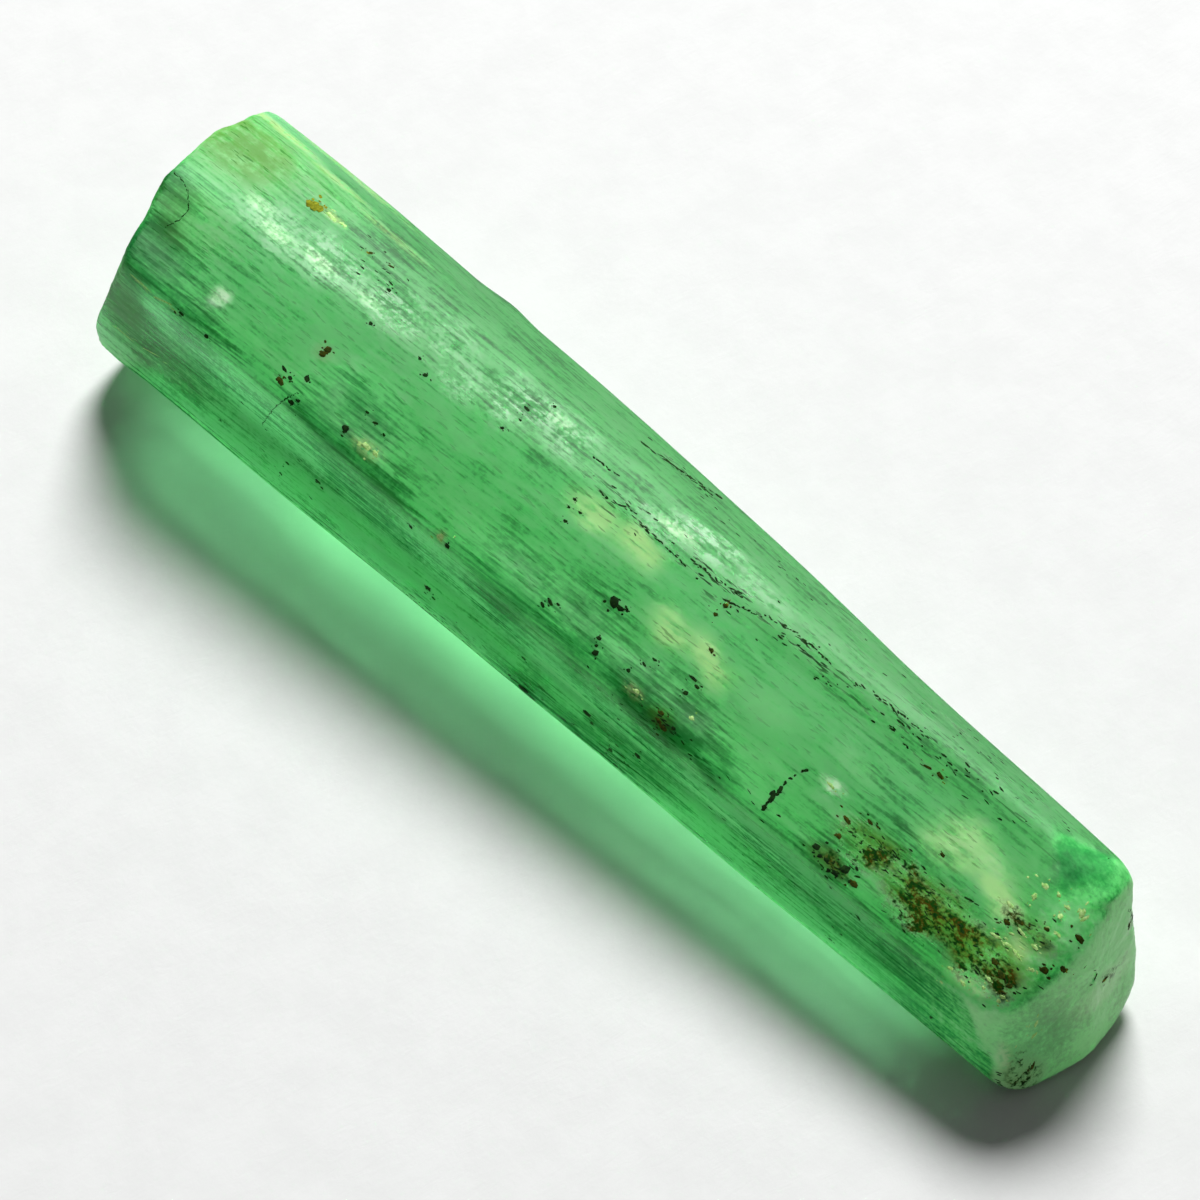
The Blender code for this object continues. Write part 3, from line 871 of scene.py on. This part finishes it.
# mineral grains and crumbs that sit in the skin: place (mm), length and width (mm)
grains = {
    "dark": (
        ((-6.52, -1.78, 2.84), 0.09, 0.07),
        ((-7.05, -1.78, 2.90), 0.12, 0.05),
        ((-7.16, -1.78, 2.84), 0.06, 0.04),
        ((-5.18, -1.46, 2.97), 0.14, 0.05),
        ((-5.02, -1.50, 2.94), 0.08, 0.06),
        ((-4.81, -1.36, 2.98), 0.10, 0.09),
        ((-4.79, -1.72, 2.79), 0.12, 0.07),
        ((-4.70, -1.66, 2.84), 0.06, 0.05),
        ((-3.86, -1.52, 2.84), 0.13, 0.10),
        ((-4.87, -1.78, 1.48), 0.10, 0.05),
        ((-4.24, -1.78, 1.59), 0.13, 0.07),
        ((-4.16, -1.78, 1.52), 0.08, 0.05),
        ((-5.00, -1.78, 1.17), 0.06, 0.05),
        ((-5.78, -1.78, 2.03), 0.07, 0.04),
        ((-6.28, -1.78, 1.27), 0.06, 0.04),
        ((-4.86, 0.26, 3.56), 0.09, 0.05),
        ((-4.60, -0.33, 3.55), 0.08, 0.06),
        ((-3.43, -0.39, 3.42), 0.09, 0.06),
        ((-3.67, -0.26, 3.49), 0.07, 0.05),
        ((-3.76, -1.19, 2.99), 0.08, 0.04),
        ((-3.56, -1.23, 2.96), 0.11, 0.04),
        ((-3.34, -1.26, 2.91), 0.06, 0.04),
        ((-2.00, 0.19, 3.39), 0.12, 0.05),
        ((-1.75, 0.49, 3.44), 0.07, 0.05),
        ((-1.92, -0.01, 3.38), 0.06, 0.04),
        ((-2.01, -0.27, 3.38), 0.07, 0.05),
        ((0.92, -0.97, 2.73), 0.17, 0.14),
        ((1.04, -0.98, 2.71), 0.14, 0.08),
        ((1.14, -0.94, 2.72), 0.07, 0.05),
        ((1.08, -1.43, 2.49), 0.09, 0.06),
        ((1.12, -1.52, 2.44), 0.06, 0.05),
        ((1.17, -1.59, 2.39), 0.11, 0.09),
        ((0.19, -1.49, 2.54), 0.14, 0.05),
        ((0.13, -1.57, 2.49), 0.10, 0.05),
        ((0.30, -1.44, 2.54), 0.07, 0.04),
        ((-0.49, -0.35, 3.16), 0.07, 0.05),
        ((-0.30, -0.43, 3.11), 0.07, 0.04),
        ((-0.38, -0.64, 3.07), 0.08, 0.05),
        ((-0.48, -0.47, 3.12), 0.06, 0.04),
        ((2.50, -1.04, 2.55), 0.16, 0.05),
        ((2.62, -1.08, 2.51), 0.09, 0.05),
        ((2.55, -1.23, 2.45), 0.09, 0.07),
        ((2.74, -1.65, 2.22), 0.08, 0.05),
        ((1.71, -1.50, 2.41), 0.08, 0.05),
        ((1.83, -1.30, 2.48), 0.10, 0.04),
        ((1.90, -1.16, 2.52), 0.10, 0.04),
        ((-0.04, -1.79, 0.70), 0.24, 0.12),
        ((0.12, -1.79, 0.62), 0.12, 0.07),
        ((-1.97, -1.79, 1.22), 0.14, 0.08),
        ((-1.84, -1.79, 1.12), 0.08, 0.05),
        ((-2.26, -1.79, 2.29), 0.08, 0.07),
        ((-1.57, -1.78, 2.45), 0.10, 0.07),
        ((1.19, -1.79, 1.25), 0.15, 0.09),
        ((1.30, -1.79, 1.14), 0.08, 0.06),
        ((1.84, -1.80, 1.73), 0.07, 0.04),
        ((2.18, -1.79, 1.21), 0.13, 0.09),
        ((1.68, -1.80, 0.91), 0.10, 0.08),
        ((1.77, -1.78, 0.66), 0.11, 0.05),
        ((-0.06, -1.79, 1.33), 0.09, 0.05),
        ((5.87, -1.58, 2.01), 0.15, 0.12),
        ((5.80, -1.70, 1.95), 0.12, 0.06),
        ((5.36, -1.60, 2.04), 0.13, 0.09),
        ((5.48, -1.66, 2.00), 0.09, 0.06),
        ((5.59, -1.63, 2.00), 0.10, 0.07),
        ((5.70, -1.72, 1.94), 0.08, 0.06),
        ((5.85, -1.79, 0.61), 0.10, 0.04),
        ((6.04, -1.79, 0.90), 0.06, 0.04),
        ((6.34, -1.79, 1.59), 0.09, 0.06),
        ((7.70, -1.79, 0.69), 0.06, 0.05),
        ((8.05, -0.98, 2.14), 0.08, 0.05),
    ),
    "rust": (
        ((-4.86, -1.02, 3.20), 0.12, 0.10),
        ((-5.11, -1.61, 2.89), 0.16, 0.08),
        ((-4.84, -0.94, 3.25), 0.13, 0.11),
        ((-5.53, 0.53, 3.61), 0.08, 0.05),
        ((-5.15, 0.57, 3.60), 0.12, 0.04),
        ((2.18, -0.30, 2.98), 0.08, 0.06),
        ((2.21, -0.15, 3.09), 0.09, 0.07),
        ((2.46, -0.66, 2.79), 0.10, 0.06),
        ((2.46, -1.61, 2.27), 0.12, 0.06),
        ((2.60, -1.73, 2.17), 0.14, 0.07),
        ((2.50, -1.70, 2.20), 0.10, 0.06),
        ((5.46, -1.11, 2.27), 0.16, 0.06),
        ((5.73, -0.96, 2.34), 0.12, 0.05),
        ((5.51, -1.34, 2.18), 0.11, 0.08),
        ((6.09, -1.64, 1.96), 0.14, 0.08),
        ((6.80, -0.72, 2.42), 0.09, 0.05),
        ((5.87, -0.06, 2.84), 0.16, 0.04),
        ((6.09, -0.04, 2.83), 0.13, 0.06),
        ((8.06, -0.82, 2.26), 0.13, 0.07),
        ((8.20, -0.72, 2.30), 0.12, 0.06),
        ((8.54, -0.59, 2.36), 0.10, 0.06),
        ((8.81, -0.98, 2.09), 0.14, 0.10),
        ((8.96, -0.84, 2.14), 0.12, 0.08),
        ((8.90, -0.38, 2.45), 0.16, 0.09),
        ((8.26, -1.27, 2.01), 0.14, 0.08),
        ((8.44, -1.32, 1.95), 0.16, 0.09),
        ((8.60, -1.37, 1.90), 0.10, 0.08),
        ((9.12, -0.23, 1.67), 0.05, 0.14),
        ((9.13, 0.22, 0.97), 0.05, 0.18),
        ((9.13, 0.40, 0.90), 0.05, 0.12),
        ((8.95, 0.78, 1.73), 0.06, 0.12),
        ((9.11, -1.46, 0.46), 0.06, 0.14),
    ),
    "ochre": (
        ((-6.80, 0.54, 3.65), 0.16, 0.13),
        ((-6.72, 0.56, 3.65), 0.17, 0.16),
        ((-6.63, 0.58, 3.65), 0.12, 0.12),
        ((9.13, 0.22, 0.97), 0.05, 0.12),
        ((-5.55, 0.51, 3.61), 0.07, 0.04),
        ((6.12, -0.04, 2.83), 0.08, 0.04),
        ((2.22, -0.13, 3.09), 0.06, 0.05),
        ((8.98, -0.84, 2.14), 0.07, 0.06),
    ),
    "pale": (
        ((-6.42, 0.59, 3.63), 0.26, 0.07),
        ((-6.20, 0.61, 3.62), 0.16, 0.05),
        ((-3.44, -1.53, 2.81), 0.18, 0.09),
        ((-3.26, -1.52, 2.80), 0.12, 0.07),
        ((-1.73, -1.77, 2.50), 0.13, 0.12),
        ((1.98, -1.61, 2.31), 0.13, 0.06),
        ((2.85, -1.42, 2.35), 0.08, 0.07),
        ((7.83, -1.79, 1.62), 0.06, 0.05),
        ((7.85, -1.66, 1.82), 0.09, 0.05),
        ((8.11, -1.68, 1.78), 0.11, 0.05),
        ((8.36, -1.60, 1.82), 0.07, 0.05),
        ((8.61, -1.62, 1.75), 0.08, 0.06),
        ((9.00, -1.68, 1.20), 0.05, 0.14),
        ((9.02, -1.66, 0.95), 0.05, 0.12),
        ((8.74, -0.12, 2.60), 0.08, 0.16),
        ((8.56, -0.36, 2.49), 0.08, 0.09),
        ((8.38, -0.20, 2.55), 0.07, 0.06),
        ((8.05, -1.01, 2.13), 0.20, 0.05),
        ((8.24, -1.00, 2.12), 0.24, 0.05),
        ((8.42, -1.01, 2.10), 0.20, 0.05),
        ((7.95, -0.65, 2.37), 0.16, 0.06),
        ((8.16, -0.23, 2.60), 0.12, 0.08),
        ((8.14, -0.40, 2.50), 0.07, 0.12),
        ((8.56, -0.23, 2.57), 0.10, 0.06),
        ((8.66, -0.55, 2.40), 0.14, 0.05),
        ((8.80, -0.16, 2.57), 0.06, 0.18),
        ((8.30, -0.80, 2.25), 0.18, 0.05),
        ((8.55, -0.82, 2.20), 0.12, 0.05),
        ((8.20, -0.88, 2.20), 0.10, 0.04),
        ((8.70, -1.05, 2.05), 0.10, 0.06),
        ((8.35, -1.50, 1.90), 0.08, 0.05),
        ((8.62, -1.55, 1.80), 0.10, 0.05),
        ((4.98, -0.94, 2.42), 0.16, 0.05),
        ((-7.92, -1.80, 2.89), 0.50, 0.025),
        ((-7.43, -1.80, 2.89), 0.40, 0.030),
        ((-8.34, -1.80, 1.46), 0.40, 0.020),
        ((-7.79, -1.80, 1.52), 0.50, 0.020),
    ),
    # rows of grains: the points that they follow, and the grains' length and width
    "chains": (
        (((4.43, -1.70, 2.05), (4.43, -1.49, 2.17), (4.45, -1.31, 2.27)), 0.10, 0.07),
        (((4.45, -1.62, 2.10), (4.46, -1.38, 2.23)), 0.08, 0.06),
        (((4.45, -1.31, 2.27), (4.50, -1.10, 2.35), (4.60, -0.96, 2.42)), 0.06, 0.04),
        (((-8.61, -0.45, 3.68), (-8.38, -0.47, 3.68), (-8.18, -0.55, 3.63)), 0.06, 0.02),
        (((-8.18, -0.55, 3.63), (-7.98, -0.72, 3.54), (-7.98, -0.90, 3.45)), 0.06, 0.02),
        (((-7.98, -0.90, 3.45), (-8.10, -1.09, 3.36)), 0.05, 0.02),
        (((-5.37, -1.79, 1.89), (-5.00, -1.79, 2.60), (-4.77, -1.57, 2.89)), 0.03, 0.02),
        (((-2.52, -1.78, 0.66), (-1.95, -1.78, 0.62)), 0.09, 0.03),
        (((-2.20, -1.78, 0.55), (-1.70, -1.78, 0.50)), 0.07, 0.03),
        (((-0.68, 1.08, 3.12), (0.02, 1.16, 3.00), (0.65, 1.28, 2.88)), 0.14, 0.05),
        (((-0.31, 1.14, 3.05), (0.63, 1.20, 2.92)), 0.10, 0.04),
        (((-0.79, 0.25, 3.35), (-0.28, 0.27, 3.34)), 0.09, 0.03),
        (((-0.26, -0.10, 3.34), (0.34, 0.00, 3.30)), 0.09, 0.03),
        (((0.34, -0.04, 3.30), (1.04, -0.08, 3.24), (1.39, -0.08, 3.21)), 0.10, 0.03),
        (((1.40, 0.02, 3.24), (2.36, 0.06, 3.19)), 0.09, 0.03),
        (((2.11, -0.10, 3.15), (2.72, 0.03, 3.18)), 0.08, 0.03),
        (((2.72, 0.07, 3.18), (3.23, 0.16, 3.16), (3.90, 0.15, 3.10)), 0.08, 0.03),
        (((4.60, 0.20, 3.05), (5.50, 0.22, 3.00)), 0.08, 0.03),
        (((7.38, -0.90, 2.25), (7.60, -0.88, 2.25)), 0.08, 0.03),
    ),
    "chainStep": 0.7,                   # from one grain of a row to the next, in lengths
    "chainPlace": (0.2, 0.8),           # where in its step a grain lies
    "chainLength": (0.5, 1.3),          # how much longer or wider than the row says
    "chainWidth": (0.5, 1.2),
    "crumbs": 420,                      # smaller grains strewn over the stained and streaked parts
    "crumbLength": (0.03, 0.12),        # mm
    "crumbWidth": (0.012, 0.03),        # mm
    "crumbSpread": 0.45,                # how widely they are strewn, beside a zone's half size
    "lastCrumb": 8.9,                   # mm along X
    "satellites": 3,                    # crumbs that lie about each grain
    "satelliteSize": (0.2, 0.5),        # beside the grain's
    "satelliteSpread": 0.7,
    "turn": 0.3,                        # radians, how far a grain may turn from its row
    "sink": 0.02,                       # how deep a grain's middle is sunk, as a share of its width
    "shapes": 4,
    "ragged": 0.22,                     # mm, how far a shape a millimetre across is roughened
    "flat": 0.2,                        # its height beside its width
    "seed": 7,
}

skinTree = BVHTree.FromObject(crystal, bpy.context.evaluated_depsgraph_get())
rng = random.Random(grains["seed"])


def grainShapes():
    # ragged grains a millimetre across, to copy
    shapes = []
    for i in range(grains["shapes"]):
        deselect()
        bpy.ops.mesh.primitive_uv_sphere_add(segments=8, ring_count=5, radius=0.5 * mm)
        shape = bpy.context.object
        bpy.ops.object.mode_set(mode="EDIT")
        bpy.ops.mesh.select_all(action="SELECT")
        bpy.ops.transform.vertex_random(offset=grains["ragged"] * mm, seed=i + 1)
        bpy.ops.transform.resize(value=(1.0, 1.0, grains["flat"]))
        bpy.ops.object.mode_set(mode="OBJECT")
        shapes.append(shape)
    return shapes


shapes = grainShapes()


def placeGrain(place, length, width, run=(1.0, 0.0, 0.0)):
    # one grain on the crystal's skin, with its length along the run
    start = Vector((place[0] * mm, axisY, axisZ))
    point, normal = skinTree.ray_cast(start, (Vector(place) * mm - start).normalized())[:2]
    if point is None:
        return None
    across = normal.cross(Vector(run)).normalized()
    along = across.cross(normal)
    swing = Matrix.Rotation(rng.uniform(-grains["turn"], grains["turn"]), 3, "Z")
    turn = Matrix((along, across, normal)).transposed() @ swing
    grain = rng.choice(shapes).copy()
    grain.data = grain.data.copy()
    bpy.context.scene.collection.objects.link(grain)
    thin = min(length, width)
    sunk = point - normal * grains["sink"] * thin * mm
    turn = (turn @ Matrix.Diagonal((length, width, thin))).to_4x4()
    grain.data.transform(Matrix.Translation(sunk) @ turn)
    return grain


def placeGrains(rows):
    # the grains of a list, each with a few crumbs about it
    made = []
    spread, size = grains["satelliteSpread"], grains["satelliteSize"]
    for place, length, width in rows:
        made.append(placeGrain(place, length, width))
        for _ in range(grains["satellites"]):
            reaches = zip(place, (length, width, width))
            aside = [middle + rng.gauss(0.0, spread) * reach for middle, reach in reaches]
            made.append(placeGrain(aside, length * rng.uniform(*size), width * rng.uniform(*size)))
    return made


def joinGrains(name, made, material):
    deselect()
    made = [grain for grain in made if grain]
    for grain in made:
        grain.select_set(True)
    bpy.context.view_layer.objects.active = made[0]
    bpy.ops.object.join()
    piece = bpy.context.object
    piece.name = name
    bpy.ops.object.mode_set(mode="EDIT")
    bpy.ops.mesh.select_all(action="SELECT")
    bpy.ops.mesh.normals_make_consistent(inside=False)
    bpy.ops.object.mode_set(mode="OBJECT")
    bpy.ops.object.shade_smooth_by_angle(angle=smoothAngle)
    piece.data.materials.append(material)
    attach(piece, "root")


def chainGrains():
    # the grains that lie in rows
    made = []
    for points, length, width in grains["chains"]:
        for start, end in zip(points, points[1:]):
            start, end = Vector(start), Vector(end)
            count = max(2, round((end - start).length / (length * grains["chainStep"])))
            for i in range(count):
                shake = Vector([rng.uniform(-0.5, 0.5) * width for _ in range(3)])
                place = start.lerp(end, (i + rng.uniform(*grains["chainPlace"])) / count) + shake
                long = length * rng.uniform(*grains["chainLength"])
                wide = width * rng.uniform(*grains["chainWidth"])
                made.append(placeGrain(place, long, wide, end - start))
    return made


def strewnGrains():
    # crumbs at random within the runs and the rust
    rows = [row for row in zones["runs"] + zones["rust"] for _ in range(2)]
    made = []
    spread, long, wide = [grains[name] for name in ("crumbSpread", "crumbLength", "crumbWidth")]
    for _ in range(grains["crumbs"]):
        centre, size, _ = rng.choice(rows)
        place = [middle + rng.gauss(0.0, spread) * reach for middle, reach in zip(centre, size)]
        place[0] = min(place[0], grains["lastCrumb"])
        made.append(placeGrain(place, rng.uniform(*long), rng.uniform(*wide)))
    return made


minerals = {
    "dark": {"name": "mica", "colours": (srgb(8, 38, 12), srgb(28, 60, 14)), "rough": 0.85},
    "rust": {"name": "iron rust", "colours": (srgb(34, 54, 4), srgb(68, 70, 8)), "rough": 0.9},
    "ochre": {"name": "ochre", "colours": (srgb(104, 112, 20), srgb(138, 144, 38)), "rough": 0.9},
    "pale": {"name": "pale mineral", "colours": (srgb(140, 196, 100), srgb(188, 228, 144)), "rough": 0.6},
    "scale": (30.0, 30.0, 30.0),        # per mm
    "height": 0.01,                     # mm
    "gloss": 0.15,
}


def grainMaterial(kind):
    mineral = Material(kind["name"])
    mottle = mineral.noise(minerals["scale"], 3.0, 0.6)
    bump = {"Strength": 0.5, "Distance": minerals["height"] * mm, "Height": mottle}
    finish = {
        "Base Color": mineral.mix(mineral.step(mottle, 0.35, 0.65), *kind["colours"]),
        "Roughness": kind["rough"],
        "Specular IOR Level": minerals["gloss"],
        "Normal": mineral.node("ShaderNodeBump", None, bump),
    }
    mineral.surface(mineral.node("ShaderNodeBsdfPrincipled", None, finish))
    return mineral.data


count = 0
for kind in ("dark", "rust", "ochre", "pale"):
    made = placeGrains(grains[kind])
    if kind == "dark":
        made = made + chainGrains() + strewnGrains()
    joinGrains(kind + "_grains", made, grainMaterial(minerals[kind]))
    count += len(made)
for shape in shapes:
    bpy.data.objects.remove(shape)
print("grains set:", count)
